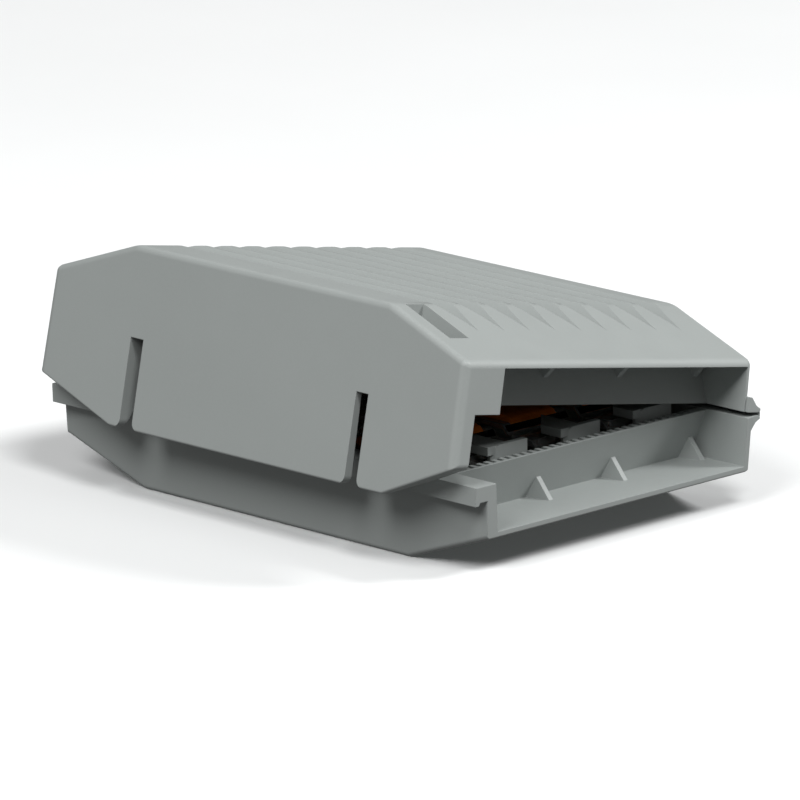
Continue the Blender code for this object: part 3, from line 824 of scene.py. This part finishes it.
# ---- gel and film ------------------------------------------------------------------------------
def gel_bed():
    side = both_ends([(10.55, SKIN + 0.2), (9.15, SKIN + 0.68), (8.2, 3.1), (7.75, GEL_TOP)])
    left = lambda z: WALL_LEFT + GEL_GAP + LEFT_TAPER * (PART_Z - PART_GAP - z)
    right = lambda z: WIDTH - WALL_RIGHT - GEL_GAP - inset(z)
    gel = prism("gel_bed", side, left, right)
    wide = CONNECTOR_HALF + GEL_CLEAR
    beds = [box("bed", (x - wide, x + wide), (NOSE_Y - GEL_CLEAR, LENGTH - NOSE_Y + GEL_CLEAR),
                (-1, 12)) for x in CONNECTOR_X]
    return cut(gel, join(beds, "beds"))


def lid_gel():
    side = both_ends([(8.85, PAD_Z[0]), (8.5, PAD_Z[0] + 0.35), (8.8, PAD_Z[1])])
    left = lambda z: LID_INNER_LEFT + GEL_GAP + lid_inset(z)
    right = lambda z: WIDTH - WALL_RIGHT - GEL_GAP - lid_inset(z)
    return prism("lid_gel", side, left, right)


def film_hinge(look):
    """Thin film from the lower lip to the lid's, bowed outwards."""
    inner, outer = [], []
    for k in range(FILM_ROWS + 1):
        angle = -math.pi / 2 + math.pi * k / FILM_ROWS
        z = PART_Z + FILM_REACH * math.sin(angle)
        for ring, grow in ((inner, 0.0), (outer, FILM_THICK)):
            bow = (FILM_INNER + grow) * math.cos(angle) * FILM_FLAT
            ring.append((HINGE_X - FILM_INSET + bow, z))
    outline = inner + outer[::-1]
    film = smooth(prism("film_hinge", outline, LIP_END + FILM_END, LENGTH - LIP_END - FILM_END,
                        "Y"))
    film.data.transform(Matrix.Translation(CORNER))
    film.data.materials.append(look)
    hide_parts("hinge_film")
    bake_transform(film)
    return film


# ---- stage -------------------------------------------------------------------------------------
def camera():
    data = bpy.data.cameras.new("camera")
    data.lens = CAMERA_LENS
    data.clip_start, data.clip_end = CAMERA_CLIP
    cam = bpy.data.objects.new("camera", data)
    a, e = (math.radians(v) for v in CAMERA_ANGLES)
    back = Vector((math.sin(a) * math.cos(e), -math.cos(a) * math.cos(e), math.sin(e)))
    cam.location = Vector(CAMERA_TARGET) + back * CAMERA_DISTANCE
    cam.rotation_mode = "QUATERNION"
    cam.rotation_quaternion = (-back).to_track_quat("-Z", "Y")
    bpy.context.scene.collection.objects.link(cam)
    bpy.context.scene.camera = cam


def softbox(name, azimuth, height, spread, strength):
    """A round soft light that looks spread degrees wide from the object; azimuth 0 is the front."""
    data = bpy.data.lights.new(name, "AREA")
    data.shape = "DISK"
    data.size = 2 * LIGHT_DISTANCE * math.tan(math.radians(spread / 2))
    data.energy = strength * math.pi * LIGHT_DISTANCE ** 2
    light = bpy.data.objects.new(name, data)
    a, e = math.radians(azimuth), math.radians(height)
    away = Vector((math.sin(a) * math.cos(e), -math.cos(a) * math.cos(e), math.sin(e)))
    light.location = away * LIGHT_DISTANCE
    light.rotation_mode = "QUATERNION"
    light.rotation_quaternion = away.to_track_quat("Z", "Y")
    bpy.context.scene.collection.objects.link(light)


def studio():
    world = bpy.data.worlds.new("studio")
    bpy.context.scene.world = world
    world.use_nodes = True
    tree = world.node_tree
    background = tree.nodes["Background"]
    background.inputs["Color"].default_value = (1.0, 1.0, 1.0, 1.0)
    seen = tree.nodes.new("ShaderNodeLightPath").outputs["Is Camera Ray"]
    strength = tree.nodes.new("ShaderNodeMapRange")
    strength.inputs["To Min"].default_value = AMBIENT
    strength.inputs["To Max"].default_value = 1.0
    tree.links.new(seen, strength.inputs["Value"])
    tree.links.new(strength.outputs["Result"], background.inputs["Strength"])

    bm = bmesh.new()
    bmesh.ops.create_grid(bm, x_segments=8, y_segments=8, size=FLOOR_SIZE)
    floor = new_object(bm, "floor")
    n = Nodes("floor_paper")
    tone = n.mix(n.ramp(n.noise(25), 0, 1), shade(FLOOR_GREY, 0.99), shade(FLOOR_GREY, 1.01))
    n.link(tone, "Base Color")
    n.set(Roughness=0.9)
    floor.data.materials.append(n.material)
    floor.location.z = cad_box[0].z - FLOOR_DROP
    floor.visible_diffuse = False
    floor.visible_glossy = False

    for name, azimuth, height, spread, strength in SOFTBOXES:
        softbox(name, azimuth, height, spread, strength)
    bpy.context.scene.view_settings.view_transform = "Standard"


# ---- the object --------------------------------------------------------------------------------
def main():
    shell_look = moulded_plastic("grey_plastic", GREY, 0.52)
    lever_look = moulded_plastic("orange_plastic", ORANGE, 0.32, 0.10)
    clear_look = clear_plastic("clear_plastic")
    cover_look = moulded_plastic("cover_plastic", COVER_GREY, 0.35, 0.12)
    gel_look = gel_material("amber_gel")
    copper_look = metal("tinned_copper", TINNED_COPPER, 0.24)
    spring_look = metal("spring_strip", SPRING_STEEL, 0.22)

    place(lower_shell(), "lower_half", shell_look, "shell", "lower_shell")
    place(lid_shell(), "lid", shell_look, "shell", "lid_shell")
    film_hinge(shell_look)
    place(soften(gel_bed(), GEL_ROUND), "lower_half", gel_look, "gel", "gel_lower")
    place(soften(lid_gel(), GEL_ROUND), "lid", gel_look, "gel", "gel_upper")
    for i, x in enumerate(CONNECTOR_X, 1):
        place(soften(connector_body(x, f"connector_body_{i}"), HOUSING_ROUND), "lower_half",
              clear_look, "housing", f"housing_{i}")
        place(soften(cover(x, f"connector_cover_{i}"), COVER_ROUND), "lower_half", cover_look,
              "housing", f"cover_{i}")
        for end, rear in (("front", False), ("rear", True)):
            node = f"lever_{end}_{i}"
            place(soften(lever(x, f"orange_{node}", rear), LEVER_ROUND), node, lever_look,
                  "lever", node)
            strip = frame["nodes"][f"clamp_{end}_{i}"]
            strip.data.materials.clear()
            strip.data.materials.append(spring_look)
        bar = frame["nodes"][f"busbar_{i}"]
        bar.data.materials.clear()
        bar.data.materials.append(copper_look)
    camera()
    studio()


main()
